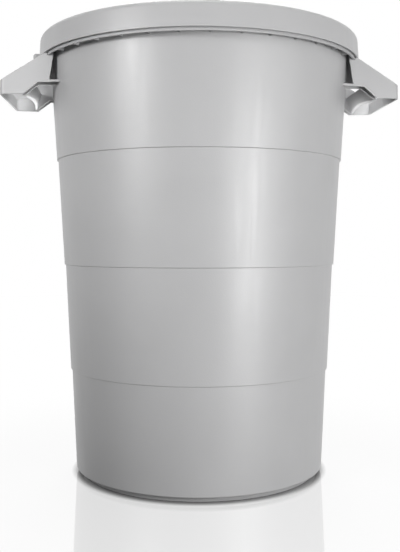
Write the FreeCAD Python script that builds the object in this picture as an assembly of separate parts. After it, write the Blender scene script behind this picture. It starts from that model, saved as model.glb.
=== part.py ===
"""Round utility bin with a lift-off lid and two hollow side handles.

Millimetres, +Z up. The origin is on the floor, under the middle of the bin.
The handles lie along X, and the front of the bin faces -Y.
"""
import FreeCAD, Part
import math
import os

V = FreeCAD.Vector
ORIGIN = V(0, 0, 0)
UP = V(0, 0, 1)

# Bin wall: four tapered bands, each set a step further out than the one below
WALL = 2.5
BASE_RADIUS = 186.0
BAND_HEIGHT = 155.2
BAND_FLARES = (6.9, 7.7, 9.2, 9.9)
BAND_STEP = 1.9
BASE_ROUND = 2.0
BASE_FACETS = 1

# Foot ring under the floor
FOOT_HEIGHT = 7.0
FOOT_SETBACK = 10.0
FOOT_WIDTH = 9.0
FOOT_DRAFT = 2.0

# Rim: a channel turned down round the mouth, with upright ribs inside it
RIM_RISE = 23.2
RIM_DEPTH = 36.0
RIM_OVERHANG = 13.6
RIM_WALL = 2.5
RIB_COUNT = 36
RIB_THICKNESS = 2.0
RIB_SETBACK = 1.0
RIB_CLEAR = 10.0

# Lid: a dished top, a flat ring that sits on the rim, and a skirt round it
LID_WALL = 2.5
LID_CLEARANCE = 1.1
LID_SEAT_GAP = 0.3
LID_SKIRT = 34.6
LID_DRAFT = 2.1
LID_ROUND = 7.0
LID_FACETS = 2
DISH_MARGIN = 12.0
DISH_DEPTH = 28.0
DISH_DRAFT = 9.0
DISH_ROUND = 5.0
DISH_FACETS = 1

# Grip bar that bridges the dish of the lid from front to back
GRIP_SETBACK = 1.5
GRIP_EDGE = 4.0
GRIP_BASE_WIDTH = 17.0
GRIP_DRAFT = 1.5
GRIP_STEPS = 3
GRIP_SWELL = 8.0
GRIP_END_HEIGHT = 6.0
GRIP_HEIGHT = 18.0
GRIP_ARCH = 3.0
GRIP_WALL = 2.5
GRIP_ROUND = 1.8
GRIP_FLARE = 4.0
GRIP_PAD = 2.5

# Thumb lugs on the lid skirt, one above each handle
LUG_REACH = 9.5
LUG_WIDTH = 26.0
LUG_HEIGHT = 15.0
LUG_ROUND = 4.0

# Handles: two hollow arms and a hollow bar, open underneath, placed from the rim
HANDLE_WALL = 2.6
HANDLE_HALF_WIDTH = 75.8
HANDLE_OUT = 52.0
ARM_WIDTH = 11.0
ARM_SPLAY = 0.18
ARM_DEPTH = 37.5
ARM_TOP_DROP = 3.5
HEEL_IN = 2.5
KNEE_OUT = 17.0
TIP_DROP = 33.5
TIP_HEIGHT = 19.5
BAR_OUT = 10.0
BAR_DROP = 28.0
BAR_LEAN = 7.5
BAR_BULGE_TOP = 1.0
BAR_BULGE_LOW = 5.0
CORNER_ROUND = 8.0
EDGE_ROUND = 1.5
LID_TO_ARM = 0.8
WINDOW_LOW_WIDTH = 15.8
WINDOW_TOP_WIDTH = 7.4
TIE_HEIGHT = 3.0
ROOT_RISE = 24.0

# Hairline between curved faces of neighbours, overshoot of cuts, and nearness of points
SEAM = 0.2
PAST = 20.0
NEAR = 0.01


def wall_radius(level):
    """Outer radius of the uppermost band at a level; inside the rim the wall is upright."""
    foot = BASE_RADIUS + sum(BAND_FLARES[:-1]) + BAND_STEP * (len(BAND_FLARES) - 1)
    start = BAND_HEIGHT * (len(BAND_FLARES) - 1)
    return foot + BAND_FLARES[-1] * (min(level, RIM_LOW) - start) / BAND_HEIGHT


# Levels and radii that follow from the sizes above
RIM_TOP = BAND_HEIGHT * len(BAND_FLARES) + RIM_RISE
RIM_UNDER = RIM_TOP - RIM_WALL
RIM_LOW = RIM_TOP - RIM_DEPTH
RIM_RADIUS = wall_radius(RIM_LOW) + RIM_OVERHANG
MOUTH_RADIUS = wall_radius(RIM_UNDER) - WALL
FOOT_RADIUS = BASE_RADIUS - FOOT_SETBACK
RING_TOP = RIM_TOP + LID_SEAT_GAP + LID_WALL
LID_LOW = RING_TOP - LID_SKIRT
LID_RADIUS = RIM_RADIUS + LID_CLEARANCE + LID_WALL
LID_TOP_RADIUS = LID_RADIUS - LID_DRAFT
RIM_DRAFT = RIM_RADIUS - LID_TOP_RADIUS + LID_ROUND + LID_SEAT_GAP
DISH_RADIUS = MOUTH_RADIUS - DISH_MARGIN
GRIP_END = LID_TOP_RADIUS - LID_ROUND - GRIP_SETBACK
GRIP_FOOT = DISH_RADIUS + GRIP_EDGE
HANDLE_TIP = RIM_RADIUS + HANDLE_OUT
HANDLE_ROOT = wall_radius(RIM_LOW) / 2
TIP_TOP = RIM_LOW - TIP_DROP
TIP_LOW = TIP_TOP - TIP_HEIGHT
ARM_INNER = HANDLE_HALF_WIDTH - ARM_WIDTH
ARM_LOW = RIM_LOW - ARM_DEPTH
ARM_SLOPE = (TIP_DROP - ARM_TOP_DROP) / HANDLE_OUT
BAR_TOP = RIM_LOW - BAR_DROP
BAR_EDGE = RIM_RADIUS + BAR_OUT
BAR_SLOPE = (BAR_TOP - TIP_TOP) / (HANDLE_TIP - BAR_EDGE)


def arm_reach(x, inset):
    """Half width of the handle, less an inset, at a distance out; the arms spread towards the bin."""
    return HANDLE_HALF_WIDTH + ARM_SPLAY * (HANDLE_TIP - x) - inset * math.hypot(1, ARM_SPLAY)


def arm_meets(radius):
    """Distance out at which the outer side of an arm crosses a circle round the bin's axis."""
    spread = HANDLE_HALF_WIDTH + ARM_SPLAY * HANDLE_TIP
    slant = 1 + ARM_SPLAY ** 2
    return (spread * ARM_SPLAY + math.sqrt(slant * radius ** 2 - spread ** 2)) / slant


def polygon(corners):
    """Flat face with these corners."""
    return Part.Face(Part.makePolygon(corners + corners[:1]))


def outline_edge(start, end):
    """Edge of a turned outline; a sloping one is a free curve, which spins into few facets."""
    if abs(start.z - end.z) < NEAR:
        return Part.makeLine(start, end)
    curve = Part.BezierCurve()
    curve.setPoles([start, end])
    return curve.toShape()


def spin(outline):
    """Solid of revolution about Z from (radius, height) corners."""
    corners = [V(r, 0, z) for r, z in outline]
    edges = [outline_edge(a, b) for a, b in zip(corners, corners[1:] + corners[:1])]
    return Part.Face(Part.Wire(edges)).revolve(ORIGIN, UP, 360)


def prism(outline, y_from, y_to):
    """Solid with an (x, z) outline, from one Y to another."""
    return polygon([V(x, y_from, z) for x, z in outline]).extrude(V(0, y_to - y_from, 0))


def offset_path(path, distance):
    """Path moved to its left by a distance, with mitred corners and a level end."""
    lines = []
    for (r0, z0), (r1, z1) in zip(path, path[1:]):
        length = math.hypot(r1 - r0, z1 - z0)
        dr, dz = (r1 - r0) / length, (z1 - z0) / length
        lines.append((r0 - dz * distance, z0 + dr * distance, dr, dz))
    moved = [lines[0][:2]]
    for (r0, z0, dr0, dz0), (r1, z1, dr1, dz1) in zip(lines, lines[1:]):
        along = ((r1 - r0) * dz1 - (z1 - z0) * dr1) / (dr0 * dz1 - dz0 * dr1)
        moved.append((r0 + along * dr0, z0 + along * dz0))
    r, z, dr, dz = lines[-1]
    end_level = path[-1][1]
    moved.append((r + (end_level - z) * dr / dz, end_level))
    return moved


def inside_round(radius, wall):
    """Round on the far side of a wall that is bent about a radius."""
    return max(radius - wall, wall / 5)


def round_corner(path, index, radius, facets):
    """Path with one of its corners turned into facets along an arc."""
    before, corner, after = [V(r, 0, z) for r, z in path[index - 1:index + 2]]
    back = (before - corner).normalize()
    ahead = (after - corner).normalize()
    half = back.getAngle(ahead) / 2
    centre = corner + (back + ahead).normalize() * (radius / math.sin(half))
    first = corner + back * (radius / math.tan(half)) - centre
    last = corner + ahead * (radius / math.tan(half)) - centre
    sweep = first.getAngle(last)
    arc = []
    for number in range(facets + 1):
        turned = sweep * number / facets
        spoke = first * math.sin(sweep - turned) + last * math.sin(turned)
        point = centre + spoke * (1 / math.sin(sweep))
        arc.append((point.x, point.z))
    return path[:index] + arc + path[index + 1:]


def edge_ends(edge):
    """First and last point of an edge."""
    return edge.Vertexes[0].Point, edge.Vertexes[-1].Point


def is_upright(edge):
    """True for a straight edge along Z."""
    first, last = edge_ends(edge)
    return abs(first.x - last.x) + abs(first.y - last.y) < NEAR < abs(first.z - last.z)


def wall_path():
    """Outer side of the bin, from the middle of the floor up to the rim."""
    path = [(0, FOOT_HEIGHT), (BASE_RADIUS, FOOT_HEIGHT)]
    radius = BASE_RADIUS
    for band, flare in enumerate(BAND_FLARES[:-1]):
        step_level = (band + 1) * BAND_HEIGHT
        path.append((radius + flare, step_level))
        radius += flare + BAND_STEP
        path.append((radius, step_level))
    path.append((wall_radius(RIM_LOW), RIM_LOW))
    path.append((wall_radius(RIM_UNDER), RIM_UNDER))
    return path


def bin_body():
    """Stepped, tapered wall and floor in one even thickness."""
    outside = wall_path()
    inside = offset_path(outside, WALL)
    return spin(round_corner(outside, 1, BASE_ROUND, BASE_FACETS) + inside[::-1])


def foot_ring():
    """Ring that the bin stands on, set in from the edge of the floor."""
    inner = FOOT_RADIUS - FOOT_WIDTH
    return spin([
        (inner, 0),
        (FOOT_RADIUS, 0),
        (FOOT_RADIUS + FOOT_DRAFT, FOOT_HEIGHT),
        (inner - FOOT_DRAFT, FOOT_HEIGHT),
    ])


def skirt_inside(level):
    """Inner radius of the rim's outer side at a level."""
    return RIM_RADIUS - RIM_WALL - RIM_DRAFT * (level - RIM_LOW) / RIM_DEPTH


def rim_rib(angle):
    """One upright rib between the wall and the outer side of the rim."""
    low = RIM_LOW + RIB_SETBACK
    high = RIM_TOP - RIM_WALL / 2
    sunk = RIM_WALL / 2
    rib = prism([
        (wall_radius(low) + SEAM, low),
        (skirt_inside(low) + sunk, low),
        (skirt_inside(high) + sunk, high),
        (wall_radius(high) + SEAM, high),
    ], -RIB_THICKNESS / 2, RIB_THICKNESS / 2)
    return rib.rotate(ORIGIN, UP, angle)


def rim():
    """Turned-down rim, with ribs all round except where the handles open into it."""
    ring = spin([
        (RIM_RADIUS, RIM_LOW),
        (RIM_RADIUS - RIM_DRAFT, RIM_TOP),
        (MOUTH_RADIUS, RIM_TOP),
        (MOUTH_RADIUS, RIM_UNDER),
        (skirt_inside(RIM_UNDER), RIM_UNDER),
        (skirt_inside(RIM_LOW), RIM_LOW),
    ])
    ribs = []
    for number in range(RIB_COUNT):
        angle = 360 / RIB_COUNT * number
        if abs(RIM_RADIUS * math.sin(math.radians(angle))) > arm_reach(RIM_RADIUS, 0) + RIB_CLEAR:
            ribs.append(rim_rib(angle))
    return ring.fuse(ribs)


def lid_shell():
    """Dished top, seat ring and skirt in one even thickness."""
    outside = [
        (0, RING_TOP - DISH_DEPTH),
        (DISH_RADIUS - DISH_DRAFT, RING_TOP - DISH_DEPTH),
        (DISH_RADIUS, RING_TOP),
        (LID_TOP_RADIUS, RING_TOP),
        (LID_RADIUS, LID_LOW),
    ]
    outside = round_corner(outside, 3, LID_ROUND, LID_FACETS)
    inside = offset_path(outside, -LID_WALL)
    outside = round_corner(outside, 2, DISH_ROUND, DISH_FACETS)
    return spin(outside + inside[::-1])


def grip_section(y, inset, floor):
    """Outline across the grip bar at a place along it; the middle is widest and highest."""
    share = 1 - (y / GRIP_END) ** 2
    crest = RING_TOP + GRIP_END_HEIGHT + (GRIP_HEIGHT - GRIP_END_HEIGHT) * share - inset
    half = GRIP_BASE_WIDTH / 2 + GRIP_SWELL * share - inset
    soft = inside_round(GRIP_ROUND, inset)
    right = []
    for level, back in ((floor, 0), (crest - soft, 0), (crest, soft)):
        draft = GRIP_DRAFT * (level - RING_TOP) / GRIP_HEIGHT
        right.append(V(half - draft - back, y, level))
    left = [V(-corner.x, y, corner.z) for corner in right[::-1]]
    return Part.makePolygon(right + left + right[:1])


def grip_body(inset, floor):
    """Bar with drafted, swelling sides and an arched top."""
    end = GRIP_END - inset
    places = [end * step / GRIP_STEPS for step in range(-GRIP_STEPS, GRIP_STEPS + 1)]
    return Part.makeLoft([grip_section(y, inset, floor) for y in places], True, True)


def grip_arch():
    """Room under the bar, a little higher in the middle."""
    half = GRIP_BASE_WIDTH + GRIP_SWELL
    front, back = V(-half, -GRIP_FOOT, RING_TOP), V(-half, GRIP_FOOT, RING_TOP)
    down = V(0, 0, -PAST)
    side = Part.Wire([
        Part.Arc(front, V(-half, 0, RING_TOP + GRIP_ARCH), back).toShape(),
        Part.makeLine(back, back + down),
        Part.makeLine(back + down, front + down),
        Part.makeLine(front + down, front),
    ])
    return Part.Face(side).extrude(V(2 * half, 0, 0))


def grip_pad(end):
    """Flared foot at one end of the bar, on the seat ring of the lid."""
    outlines = []
    for level, flare in ((RING_TOP, GRIP_FLARE), (RING_TOP + GRIP_PAD, 0)):
        half = GRIP_BASE_WIDTH / 2 + flare
        inner, outer = V(0, end * GRIP_FOOT, level), V(0, end * GRIP_END, level)
        side = V(half, 0, 0)
        corners = [inner - side, inner + side, outer + side, outer - side]
        outlines.append(Part.makePolygon(corners + corners[:1]))
    return Part.makeLoft(outlines, True, True)


def lid_grip():
    """Hollow bar, open underneath, with a flared foot at each end."""
    bar = grip_body(0, RING_TOP).fuse([grip_pad(-1), grip_pad(1)])
    return bar.cut([grip_arch(), grip_body(GRIP_WALL, RING_TOP - PAST)])


def lid_lug(side):
    """Thumb lug on the skirt; side is 1 for right and -1 for left."""
    outer = LID_RADIUS + LUG_REACH
    inner = LID_TOP_RADIUS - PAST
    high = LID_LOW + LUG_HEIGHT
    lug = prism([
        (inner, LID_LOW),
        (outer - LUG_ROUND, LID_LOW),
        (outer, LID_LOW + LUG_ROUND),
        (outer, high),
        (inner, high),
    ], -LUG_WIDTH / 2, LUG_WIDTH / 2)
    corners = []
    for edge in lug.Edges:
        first, last = edge_ends(edge)
        crest = min(first.z, last.z) > high - NEAR
        if min(first.x, last.x) > outer - NEAR and (is_upright(edge) or crest):
            corners.append(edge)
    lug = lug.makeFillet(LUG_ROUND, corners)
    skirt = spin([
        (0, LID_LOW - PAST),
        (LID_RADIUS + LID_DRAFT * PAST / LID_SKIRT + SEAM, LID_LOW - PAST),
        (LID_TOP_RADIUS + SEAM, RING_TOP),
        (0, RING_TOP),
    ])
    lug = lug.cut(skirt)
    return lug.rotate(ORIGIN, UP, 0 if side > 0 else 180)


def arm_outline(inset):
    """Side view of the arms; with an inset it is their hollow, which runs out below."""
    limit = LID_LOW - LID_TO_ARM - inset
    tip = HANDLE_TIP - inset
    tip_top = TIP_TOP + ARM_SLOPE * inset - inset * math.hypot(1, ARM_SLOPE)
    turn = tip - (limit - tip_top) / ARM_SLOPE
    outline = [(HANDLE_ROOT, limit), (turn, limit), (tip, tip_top)]
    if inset:
        return outline + [(tip, TIP_LOW - PAST), (HANDLE_ROOT, TIP_LOW - PAST)]
    return outline + [
        (tip, TIP_LOW),
        (RIM_RADIUS + KNEE_OUT, TIP_LOW),
        (RIM_RADIUS - HEEL_IN, ARM_LOW),
        (HANDLE_ROOT, ARM_LOW),
    ]


def handle_plan(inset):
    """Upright block with the plan of the handle, wider towards the bin."""
    ends = (HANDLE_ROOT, HANDLE_TIP + PAST)
    right = [V(x, arm_reach(x, inset), 0) for x in ends]
    left = [V(corner.x, -corner.y, 0) for corner in right[::-1]]
    return polygon(right + left).extrude(UP * RIM_TOP)


def handle_block(inset):
    """Handle with no hand hole, and with the corners of its tip rounded."""
    half = arm_reach(HANDLE_ROOT, 0)
    block = prism(arm_outline(inset), -half, half).common(handle_plan(inset))
    tip = HANDLE_TIP - inset
    corners = [e for e in block.Edges if is_upright(e) and edge_ends(e)[0].x > tip - NEAR]
    return block.makeFillet(inside_round(CORNER_ROUND, inset), corners)


def soften_top(block):
    """Round the upper edges of the arms and of the tip."""
    edges = []
    for edge in block.Edges:
        first, last = edge_ends(edge)
        outside = min(first.x, last.x) > HANDLE_ROOT + NEAR
        along_side = first.y * last.y > 0
        round_tip = edge.Length > NEAR and max(first.x, last.x) > HANDLE_TIP - NEAR
        level_top = min(first.z, last.z) > TIP_LOW + TIP_HEIGHT / 2
        if outside and level_top and not is_upright(edge) and (round_tip or along_side):
            edges.append(edge)
    return block.makeFillet(EDGE_ROUND, edges)


def bar_face(level, half, margin, far_x):
    """Plan between a far line and the bulging inner face of the bar."""
    share = (BAR_TOP - level) / (BAR_TOP - TIP_LOW)
    ends = BAR_EDGE + BAR_LEAN * share + margin
    bulge = BAR_BULGE_TOP + (BAR_BULGE_LOW - BAR_BULGE_TOP) * share
    front, back = V(ends, -ARM_INNER, level), V(ends, ARM_INNER, level)
    run = [back, V(ends, half, level), V(far_x, half, level)]
    run += [V(far_x, -half, level), V(ends, -half, level), front]
    if half - ARM_INNER < NEAR:
        run = [back] + run[2:4] + [front]
    edges = [Part.Arc(front, V(ends - bulge, 0, level), back).toShape()]
    edges += [Part.makeLine(a, b) for a, b in zip(run, run[1:])]
    return Part.Wire(edges)


def bar_side(half, margin, far_x):
    """Solid between a far line and the bulging inner face of the bar."""
    beyond = HANDLE_WALL
    levels = (TIP_LOW - beyond, BAR_TOP + beyond)
    return Part.makeLoft([bar_face(z, half, margin, far_x) for z in levels], True, True)


def bar_space(drop, half, end_level):
    """Space from the top of the bar, lowered by a drop, up or down to a level."""
    far = HANDLE_TIP + PAST
    return prism([
        (HANDLE_ROOT, BAR_TOP - drop),
        (BAR_EDGE, BAR_TOP - drop),
        (far, TIP_TOP - BAR_SLOPE * PAST - drop),
        (far, end_level),
        (HANDLE_ROOT, end_level),
    ], -half, half)


def bin_space():
    """The room that the wall and the rim take up."""
    low = TIP_LOW - PAST
    return spin([
        (0, low),
        (wall_radius(low) + SEAM, low),
        (wall_radius(RIM_LOW) + SEAM, RIM_LOW),
        (RIM_RADIUS + SEAM, RIM_LOW),
        (RIM_RADIUS + SEAM, RIM_TOP),
        (0, RIM_TOP),
    ])


def arm_window(side):
    """Gap between the wall and the outer side of an arm, above a thin tie."""
    sill = ARM_LOW + TIE_HEIGHT
    low_edge = arm_meets(wall_radius(sill)) + WINDOW_LOW_WIDTH
    top_edge = arm_meets(wall_radius(RIM_LOW)) + WINDOW_TOP_WIDTH
    inside = side * (HANDLE_HALF_WIDTH - ARM_WIDTH / 2)
    return prism([
        (HANDLE_ROOT, sill),
        (low_edge, sill),
        (top_edge, RIM_LOW),
        (top_edge, RIM_TOP),
        (HANDLE_ROOT, RIM_TOP),
    ], inside, side * (arm_reach(HANDLE_ROOT, 0) + PAST))


def arm_roots():
    """Sides of the arms, carried up inside the channel of the rim."""
    low = RIM_LOW - HANDLE_WALL
    high = RIM_LOW + ROOT_RISE
    channel = spin([
        (wall_radius(high) + SEAM, low),
        (skirt_inside(low) - SEAM, low),
        (skirt_inside(high) - SEAM, high),
        (wall_radius(high) + SEAM, high),
    ])
    half = arm_reach(HANDLE_ROOT, 0)
    inner = ARM_INNER + HANDLE_WALL
    window_edge = arm_meets(wall_radius(RIM_LOW)) + WINDOW_TOP_WIDTH
    past_window = prism([
        (window_edge, low),
        (HANDLE_TIP, low),
        (HANDLE_TIP, high),
        (window_edge, high),
    ], -half, half)
    outer_sides = handle_plan(0).cut(handle_plan(HANDLE_WALL)).common(past_window)
    across = [(HANDLE_ROOT, low), (HANDLE_TIP, low), (HANDLE_TIP, high), (HANDLE_ROOT, high)]
    inner_sides = prism(across, -inner, inner).cut(prism(across, -ARM_INNER, ARM_INNER))
    return [sides.common(channel) for sides in (outer_sides, inner_sides)]


def handle(side):
    """Loop handle under the rim; side is 1 for right and -1 for left."""
    wall = HANDLE_WALL
    inner = ARM_INNER + wall
    between = [(0, 0), (HANDLE_TIP + PAST, 0), (HANDLE_TIP + PAST, RIM_TOP), (0, RIM_TOP)]
    arm_hollows = handle_block(wall).cut(prism(between, -inner, inner))
    bar_hollow = bar_side(inner + SEAM, wall, HANDLE_TIP - wall)
    bar_hollow = bar_hollow.common(bar_space(wall, HANDLE_HALF_WIDTH, TIP_LOW - PAST))
    loop = soften_top(handle_block(0)).cut([
        arm_hollows,
        bar_hollow,
        bar_side(ARM_INNER, 0, HANDLE_ROOT),
        bar_space(0, ARM_INNER, RIM_TOP),
        arm_window(-1),
        arm_window(1),
        bin_space(),
    ]).fuse(arm_roots()).removeSplitter()
    return loop.rotate(ORIGIN, UP, 0 if side > 0 else 180)


PIECES = {
    "bin_body": bin_body(),
    "foot_ring": foot_ring(),
    "rim": rim(),
    "left_handle": handle(-1),
    "right_handle": handle(1),
    "lid_shell": lid_shell(),
    "lid_grip": lid_grip(),
    "left_lid_lug": lid_lug(-1),
    "right_lid_lug": lid_lug(1),
}

os.makedirs("parts", exist_ok=True)
for name, shape in PIECES.items():
    for solid in shape.Solids:
        print(name, round(solid.Volume / 1000, 1), "cm3", "valid" if solid.isValid() else "faulty")
    piece = shape.Solids[0] if len(shape.Solids) == 1 else shape
    piece.exportStep("parts/" + name + ".step")
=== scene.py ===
"""Looks of a round utility bin with a loose lid, in metres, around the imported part."""
import bmesh
import bpy
import math
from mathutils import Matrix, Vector


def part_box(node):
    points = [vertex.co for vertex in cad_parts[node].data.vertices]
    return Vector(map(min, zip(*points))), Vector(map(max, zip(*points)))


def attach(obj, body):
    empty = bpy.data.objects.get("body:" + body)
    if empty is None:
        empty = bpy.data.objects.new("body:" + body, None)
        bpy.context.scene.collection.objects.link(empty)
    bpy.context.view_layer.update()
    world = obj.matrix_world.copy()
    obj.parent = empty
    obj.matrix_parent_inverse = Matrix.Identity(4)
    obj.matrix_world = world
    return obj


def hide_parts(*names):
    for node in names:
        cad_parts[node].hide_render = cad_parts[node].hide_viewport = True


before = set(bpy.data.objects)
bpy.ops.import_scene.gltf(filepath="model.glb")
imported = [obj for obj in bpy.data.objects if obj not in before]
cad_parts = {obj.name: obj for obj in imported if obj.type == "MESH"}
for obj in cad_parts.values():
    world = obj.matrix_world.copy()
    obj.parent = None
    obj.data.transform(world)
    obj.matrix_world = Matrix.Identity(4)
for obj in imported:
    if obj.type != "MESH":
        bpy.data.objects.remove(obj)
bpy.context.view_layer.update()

# Levels and radii of the turned pieces, from the frame
FLOOR_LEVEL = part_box("bin_body")[0].z
WALL_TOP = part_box("bin_body")[1].z
NECK_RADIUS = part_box("bin_body")[1].x
RIM_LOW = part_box("rim")[0].z
LID_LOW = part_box("lid_shell")[0].z
LID_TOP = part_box("lid_shell")[1].z
LID_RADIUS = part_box("lid_shell")[1].x

# Bin wall: four tapered bands with a step between them
WALL = 0.0025
BASE_RADIUS = 0.186
BASE_ROUND = 0.003
BAND_HEIGHT = 0.1552
BAND_FLARES = (0.0069, 0.0077, 0.0092)
BAND_STEP = 0.0019

# Lid: dished top, seat ring and skirt
LID_DRAFT = 0.0021
LID_ROUND = 0.007
DISH_INSET = 0.0145
DISH_DEPTH = 0.028
DISH_DRAFT = 0.009
DISH_ROUND = 0.0045

# Softened edges and roundness of the pieces
EDGE_ROUND = 0.0006
EDGE_SEGMENTS = 2
EDGE_ANGLE = math.radians(32)
ROUND_SEGMENTS = 6
TURN_STEPS = 192
MERGE_DISTANCE = 1e-5
FLAT_ANGLE = math.radians(0.5)
LARGE_FACE_WEIGHT = 100

# Plastic: light grey, satin, with a fine moulded grain
PLASTIC_DARK = (0.485, 0.485, 0.49, 1)
PLASTIC_LIGHT = (0.515, 0.515, 0.52, 1)
PLASTIC_GLOSS = 0.7
ROUGH_SMOOTH = 0.36
ROUGH_DULL = 0.44
CLOUD_SCALE = 9.0
CLOUD_DETAIL = 4.0
GRAIN_SCALE = 900.0
GRAIN_DETAIL = 2.0
GRAIN_HEIGHT = 0.00012
DRAW_STRETCH = (160.0, 160.0, 3.0)
DRAW_SCALE = 1.0
DRAW_DETAIL = 2.0
NOISE_LOW = 0.3
NOISE_HIGH = 0.7
BIN_PATTERN_SHIFT = (0, 0, 0)
LID_PATTERN_SHIFT = (0.7, 0.3, 0.2)

# Camera, from the outlines in the photograph
IMAGE_LONG_SIDE = 552
FOCAL_PIXELS = 797.0
HORIZON_RISE_PIXELS = 35.0
SENSOR = 36.0
CAMERA_DISTANCE = 1.23
CAMERA_HEIGHT = 0.3453
CAMERA_TURN = math.radians(4.0)
CAMERA_ASIDE = 0.0015

# Studio floor and background
WHITE = (1, 1, 1, 1)
WHITE_GLOW = 1.0
WORLD_GLOW = 0.03
FLOOR_RADIUS = 4.0
FLOOR_SEGMENTS = 96
FLOOR_BOUNCE = (0.04, 0.04, 0.04, 1)
FLOOR_MIRROR = 0.27
FLOOR_ROUGHNESS = 0.05
# Painted shade on the floor: reach and depth of the occlusion that darkens its white under the
# bin's edge
PAINTED_SHADE_REACH = 0.012
PAINTED_SHADE_DEPTH = 2.0
SHADOW_SHARE = 0.12
SHADOW_NEAR = 0.25
SHADOW_FAR = 0.7

# Soft lamps: turn from the camera's side in degrees, distance, height, height of the aim,
# width and length, spread of the beam in degrees, watts
SOFT_LAMPS = {
    "high_front_lamp": (0, 2.0, 1.8, 0.4, (2.4, 1.2), 180, 7.2),
    "left_lamp": (-46, 1.7, 0.8, 0.42, (0.45, 0.5), 44, 1.06),
    "right_lamp": (37, 1.5, 0.3, 0.375, (0.55, 0.6), 180, 12.4),
    "right_side_lamp": (62, 1.8, 0.5, 0.4, (0.5, 1.0), 60, 0.4),
    "overhead_lamp": (0, 0.0, 2.4, 0.375, (1.2, 1.2), 180, 12),
    "high_back_lamp": (180, 2.0, 2.4, 0.375, (1.2, 1.2), 180, 18),
    "low_back_lamp": (180, 1.8, 0.7, 0.375, (0.5, 1.0), 180, 16),
}

# Narrow lamps in front of the bin, one for the hollow of each handle; the right one's place and aim
HANDLE_LAMP_SIDES = {"left_handle_lamp": -1, "right_handle_lamp": 1}
HANDLE_LAMP_PLACE = Vector((0.165, -0.27, 0.36))
HANDLE_LAMP_AIM = Vector((0.285, 0.03, 0.555))
HANDLE_LAMP_RADIUS = 0.015
HANDLE_LAMP_CONE = math.radians(16)
HANDLE_LAMP_POWER = 9.0


def new_piece(bm, name):
    """Object at the origin from a finished bmesh, smooth all over."""
    for face in bm.faces:
        face.smooth = True
    mesh = bpy.data.meshes.new(name)
    bm.to_mesh(mesh)
    bm.free()
    piece = bpy.data.objects.new(name, mesh)
    bpy.context.scene.collection.objects.link(piece)
    return piece


def soften_edges(piece):
    """Small round on every sharp edge, shaded so that flats stay flat beside it."""
    bevel = piece.modifiers.new("soft_edges", "BEVEL")
    bevel.width = EDGE_ROUND
    bevel.segments = EDGE_SEGMENTS
    bevel.limit_method = "ANGLE"
    bevel.angle_limit = EDGE_ANGLE
    weld = piece.modifiers.new("closed_corners", "WELD")
    weld.merge_threshold = MERGE_DISTANCE
    weighted = piece.modifiers.new("even_shading", "WEIGHTED_NORMAL")
    weighted.keep_sharp = True
    weighted.weight = LARGE_FACE_WEIGHT


def turned_shell(name, corners, rounds):
    """Shell turned about Z from (radius, level) corners; rounds gives a corner's bend by number."""
    bm = bmesh.new()
    verts = [bm.verts.new((radius, 0, level)) for radius, level in corners]
    for first, second in zip(verts, verts[1:]):
        bm.edges.new((first, second))
    for number, bend in rounds.items():
        bmesh.ops.bevel(bm, geom=[verts[number]], offset=bend, segments=ROUND_SEGMENTS,
                        profile=0.5, affect="VERTICES", material=-1)
    bmesh.ops.spin(bm, geom=bm.verts[:] + bm.edges[:], cent=(0, 0, 0), axis=(0, 0, 1),
                   angle=2 * math.pi, steps=TURN_STEPS, use_merge=True)
    bmesh.ops.remove_doubles(bm, verts=bm.verts[:], dist=MERGE_DISTANCE)
    bmesh.ops.recalc_face_normals(bm, faces=bm.faces[:])
    piece = new_piece(bm, name)
    solid = piece.modifiers.new("wall", "SOLIDIFY")
    solid.thickness = WALL
    solid.offset = -1
    solid.use_even_offset = True
    return piece


def smooth_copy(node, name):
    """Copy of a CAD node, merged, with its flats made whole."""
    bm = bmesh.new()
    bm.from_mesh(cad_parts[node].data)
    bmesh.ops.remove_doubles(bm, verts=bm.verts[:], dist=MERGE_DISTANCE)
    bmesh.ops.dissolve_limit(bm, angle_limit=FLAT_ANGLE, verts=bm.verts[:], edges=bm.edges[:])
    return new_piece(bm, name)


def dress(piece, node, body, finish):
    """Put a piece in the place of a CAD node."""
    piece.data.materials.clear()
    piece.data.materials.append(finish)
    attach(piece, body)
    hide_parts(node)


def bin_wall():
    """Floor and stepped wall, up to the rim."""
    corners = [(0, FLOOR_LEVEL), (BASE_RADIUS, FLOOR_LEVEL)]
    radius = BASE_RADIUS
    for band, flare in enumerate(BAND_FLARES):
        level = (band + 1) * BAND_HEIGHT
        for reach in (flare, BAND_STEP):
            radius += reach
            corners.append((radius, level))
    corners += [(NECK_RADIUS, RIM_LOW), (NECK_RADIUS, WALL_TOP)]
    return turned_shell("bin_wall", corners, {1: BASE_ROUND})


def lid_cover():
    """Lid with a rounded shoulder and a rounded dish."""
    dish_radius = NECK_RADIUS - DISH_INSET
    corners = [
        (0, LID_TOP - DISH_DEPTH),
        (dish_radius - DISH_DRAFT, LID_TOP - DISH_DEPTH),
        (dish_radius, LID_TOP),
        (LID_RADIUS - LID_DRAFT, LID_TOP),
        (LID_RADIUS, LID_LOW),
    ]
    return turned_shell("lid_cover", corners, {1: DISH_ROUND, 2: DISH_ROUND, 3: LID_ROUND})


def new_material(name):
    """Empty material with its nodes, links and output."""
    material = bpy.data.materials.new(name)
    material.use_nodes = True
    tree = material.node_tree
    tree.nodes.clear()
    output = tree.nodes.new("ShaderNodeOutputMaterial")
    return material, tree, output


def noise(tree, source, scale, detail):
    """Noise on a coordinate."""
    node = tree.nodes.new("ShaderNodeTexNoise")
    node.inputs["Scale"].default_value = scale
    node.inputs["Detail"].default_value = detail
    tree.links.new(source, node.inputs["Vector"])
    return node.outputs["Fac"]


def remap(tree, source, low, high):
    """Noise stretched to the range from low to high."""
    node = tree.nodes.new("ShaderNodeMapRange")
    node.inputs["From Min"].default_value = NOISE_LOW
    node.inputs["From Max"].default_value = NOISE_HIGH
    node.inputs["To Min"].default_value = low
    node.inputs["To Max"].default_value = high
    tree.links.new(source, node.inputs["Value"])
    return node.outputs["Result"]


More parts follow.
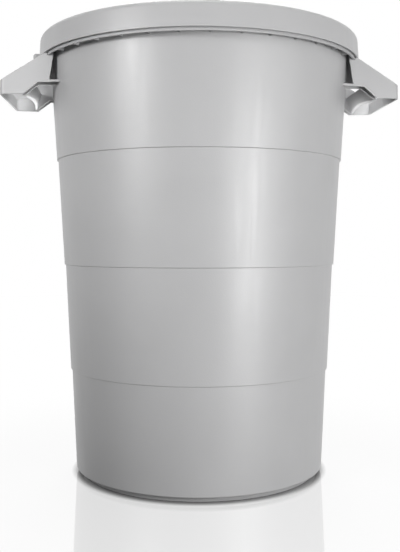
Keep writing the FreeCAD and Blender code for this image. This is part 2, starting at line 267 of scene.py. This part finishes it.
def plastic(name, pattern_shift):
    """Satin moulded plastic: cloudy colour, fine grain and faint upright draw marks."""
    material, tree, output = new_material(name)
    shader = tree.nodes.new("ShaderNodeBsdfPrincipled")
    shader.inputs["Specular IOR Level"].default_value = PLASTIC_GLOSS
    coords = tree.nodes.new("ShaderNodeTexCoord")
    moved = tree.nodes.new("ShaderNodeMapping")
    moved.inputs["Location"].default_value = pattern_shift
    tree.links.new(coords.outputs["Object"], moved.inputs["Vector"])
    drawn = tree.nodes.new("ShaderNodeMapping")
    drawn.inputs["Scale"].default_value = DRAW_STRETCH
    tree.links.new(moved.outputs["Vector"], drawn.inputs["Vector"])
    cloud = noise(tree, moved.outputs["Vector"], CLOUD_SCALE, CLOUD_DETAIL)
    marks = noise(tree, drawn.outputs["Vector"], DRAW_SCALE, DRAW_DETAIL)
    grain = noise(tree, moved.outputs["Vector"], GRAIN_SCALE, GRAIN_DETAIL)
    colour = tree.nodes.new("ShaderNodeMix")
    colour.data_type = "RGBA"
    colour.inputs["A"].default_value = PLASTIC_DARK
    colour.inputs["B"].default_value = PLASTIC_LIGHT
    tree.links.new(remap(tree, cloud, 0, 1), colour.inputs["Factor"])
    tree.links.new(colour.outputs["Result"], shader.inputs["Base Color"])
    tree.links.new(remap(tree, marks, ROUGH_SMOOTH, ROUGH_DULL), shader.inputs["Roughness"])
    bump = tree.nodes.new("ShaderNodeBump")
    bump.inputs["Distance"].default_value = GRAIN_HEIGHT
    tree.links.new(grain, bump.inputs["Height"])
    tree.links.new(bump.outputs["Normal"], shader.inputs["Normal"])
    tree.links.new(shader.outputs["BSDF"], output.inputs["Surface"])
    return material


def seen_rays(tree):
    """1 for camera, glossy and transmission rays, else 0."""
    path = tree.nodes.new("ShaderNodeLightPath")
    total = path.outputs["Is Camera Ray"]
    for ray in ("Is Glossy Ray", "Is Transmission Ray"):
        either = tree.nodes.new("ShaderNodeMath")
        either.operation = "MAXIMUM"
        tree.links.new(total, either.inputs[0])
        tree.links.new(path.outputs[ray], either.inputs[1])
        total = either.outputs["Value"]
    return total


def mix(tree, share, first, second):
    """Mix of two shaders; share is a value or the output of a node."""
    node = tree.nodes.new("ShaderNodeMixShader")
    if isinstance(share, float):
        node.inputs["Fac"].default_value = share
    else:
        tree.links.new(share, node.inputs["Fac"])
    tree.links.new(first, node.inputs[1])
    tree.links.new(second, node.inputs[2])
    return node.outputs["Shader"]


def dull(tree, colour):
    """Matt surface of one colour."""
    node = tree.nodes.new("ShaderNodeBsdfDiffuse")
    node.inputs["Color"].default_value = colour
    return node.outputs["BSDF"]


def shadow_share(tree):
    """How much of the shadow the floor shows: most near the bin, none far from it."""
    coords = tree.nodes.new("ShaderNodeTexCoord")
    distance = tree.nodes.new("ShaderNodeVectorMath")
    distance.operation = "LENGTH"
    tree.links.new(coords.outputs["Object"], distance.inputs[0])
    fade = tree.nodes.new("ShaderNodeMapRange")
    fade.interpolation_type = "SMOOTHSTEP"
    fade.inputs["From Min"].default_value = SHADOW_NEAR
    fade.inputs["From Max"].default_value = SHADOW_FAR
    fade.inputs["To Min"].default_value = SHADOW_SHARE
    fade.inputs["To Max"].default_value = 0
    tree.links.new(distance.outputs["Value"], fade.inputs["Value"])
    return fade.outputs["Result"]


def studio_floor():
    """White floor with a soft shadow, a faint mirror image and a dark line of painted shade under
    the bin's edge.
    """
    material, tree, output = new_material("pale_floor")
    # Painted shade: the floor's emitted white is darkened by occlusion near the bin, a dark line
    # under its edge
    painted_shade_occlusion = tree.nodes.new("ShaderNodeAmbientOcclusion")
    painted_shade_occlusion.inputs["Distance"].default_value = PAINTED_SHADE_REACH
    painted_shade = tree.nodes.new("ShaderNodeGamma")
    painted_shade.inputs["Gamma"].default_value = PAINTED_SHADE_DEPTH
    tree.links.new(painted_shade_occlusion.outputs["Color"], painted_shade.inputs["Color"])
    white_with_painted_shade = tree.nodes.new("ShaderNodeEmission")
    tree.links.new(painted_shade.outputs["Color"], white_with_painted_shade.inputs["Color"])
    mirror = tree.nodes.new("ShaderNodeBsdfGlossy")
    mirror.inputs["Color"].default_value = WHITE
    mirror.inputs["Roughness"].default_value = FLOOR_ROUGHNESS
    shaded = mix(tree, shadow_share(tree), white_with_painted_shade.outputs["Emission"], dull(tree, WHITE))
    seen = mix(tree, FLOOR_MIRROR, shaded, mirror.outputs["BSDF"])
    floor_look = mix(tree, seen_rays(tree), dull(tree, FLOOR_BOUNCE), seen)
    tree.links.new(floor_look, output.inputs["Surface"])
    bm = bmesh.new()
    bmesh.ops.create_circle(bm, cap_ends=True, radius=FLOOR_RADIUS, segments=FLOOR_SEGMENTS)
    floor = new_piece(bm, "studio_floor")
    floor.data.materials.append(material)


def studio_world():
    """White to the camera and in gloss, a low even grey as light."""
    world = bpy.data.worlds.new("studio")
    bpy.context.scene.world = world
    world.use_nodes = True
    tree = world.node_tree
    tree.nodes.clear()
    output = tree.nodes.new("ShaderNodeOutputWorld")
    glows = []
    for strength in (WORLD_GLOW, WHITE_GLOW):
        glow = tree.nodes.new("ShaderNodeBackground")
        glow.inputs["Color"].default_value = WHITE
        glow.inputs["Strength"].default_value = strength
        glows.append(glow.outputs["Background"])
    tree.links.new(mix(tree, seen_rays(tree), *glows), output.inputs["Surface"])


def hang_lamp(name, data, place, aim):
    """Lamp at a place, turned towards a point and hidden from the camera."""
    lamp = bpy.data.objects.new(name, data)
    lamp.location = place
    lamp.rotation_euler = (aim - place).to_track_quat("-Z", "Y").to_euler()
    lamp.visible_camera = False
    bpy.context.scene.collection.objects.link(lamp)


def soft_lamp(name, turn, distance, height, aim, size, spread, power):
    """Soft lamp, turned about the bin from the camera's side, and facing its axis."""
    data = bpy.data.lights.new(name, "AREA")
    data.shape = "RECTANGLE"
    data.size, data.size_y = size
    data.spread = math.radians(spread)
    data.energy = power
    angle = math.radians(turn) - CAMERA_TURN
    place = Vector((distance * math.sin(angle), -distance * math.cos(angle), height))
    hang_lamp(name, data, place, Vector((0, 0, aim)))


def handle_lamp(name, side):
    """Narrow lamp that lights the hollow of the handle on one side, from under its near arm."""
    data = bpy.data.lights.new(name, "SPOT")
    data.energy = HANDLE_LAMP_POWER
    data.spot_size = HANDLE_LAMP_CONE
    data.spot_blend = 1
    data.shadow_soft_size = HANDLE_LAMP_RADIUS
    mirror = Vector((side, 1, 1))
    hang_lamp(name, data, HANDLE_LAMP_PLACE * mirror, HANDLE_LAMP_AIM * mirror)


def photo_camera():
    """Level camera, a little left of the front, with the photograph's framing."""
    data = bpy.data.cameras.new("photo_camera")
    data.sensor_width = SENSOR
    data.lens = FOCAL_PIXELS * SENSOR / IMAGE_LONG_SIDE
    data.shift_y = -HORIZON_RISE_PIXELS / IMAGE_LONG_SIDE
    camera = bpy.data.objects.new("photo_camera", data)
    ahead = Vector((math.sin(CAMERA_TURN), math.cos(CAMERA_TURN), 0))
    right = Vector((ahead.y, -ahead.x, 0))
    camera.location = right * CAMERA_ASIDE - ahead * CAMERA_DISTANCE
    camera.location.z = CAMERA_HEIGHT
    camera.rotation_euler = ahead.to_track_quat("-Z", "Y").to_euler()
    bpy.context.scene.collection.objects.link(camera)
    bpy.context.scene.camera = camera


bin_finish = plastic("bin_satin_grey", BIN_PATTERN_SHIFT)
lid_finish = plastic("lid_satin_grey", LID_PATTERN_SHIFT)

for piece, node, body, slot, finish in (
    (bin_wall(), "bin_body", "bin", "bin_plastic", bin_finish),
    (smooth_copy("foot_ring", "standing_ring"), "foot_ring", "bin", "bin_plastic", bin_finish),
    (smooth_copy("rim", "rim_channel"), "rim", "bin", "bin_plastic", bin_finish),
    (smooth_copy("left_handle", "left_loop"), "left_handle", "bin", "bin_plastic", bin_finish),
    (smooth_copy("right_handle", "right_loop"), "right_handle", "bin", "bin_plastic", bin_finish),
    (lid_cover(), "lid_shell", "lid", "lid_plastic", lid_finish),
    (smooth_copy("lid_grip", "grip_bar"), "lid_grip", "lid", "lid_plastic", lid_finish),
    (smooth_copy("left_lid_lug", "left_lug"), "left_lid_lug", "lid", "lid_plastic", lid_finish),
    (smooth_copy("right_lid_lug", "right_lug"), "right_lid_lug", "lid", "lid_plastic", lid_finish),
):
    soften_edges(piece)
    dress(piece, node, body, finish)

studio_floor()
studio_world()
for name, lamp in SOFT_LAMPS.items():
    soft_lamp(name, *lamp)
for name, side in HANDLE_LAMP_SIDES.items():
    handle_lamp(name, side)
photo_camera()
bpy.context.scene.view_settings.view_transform = "Standard"
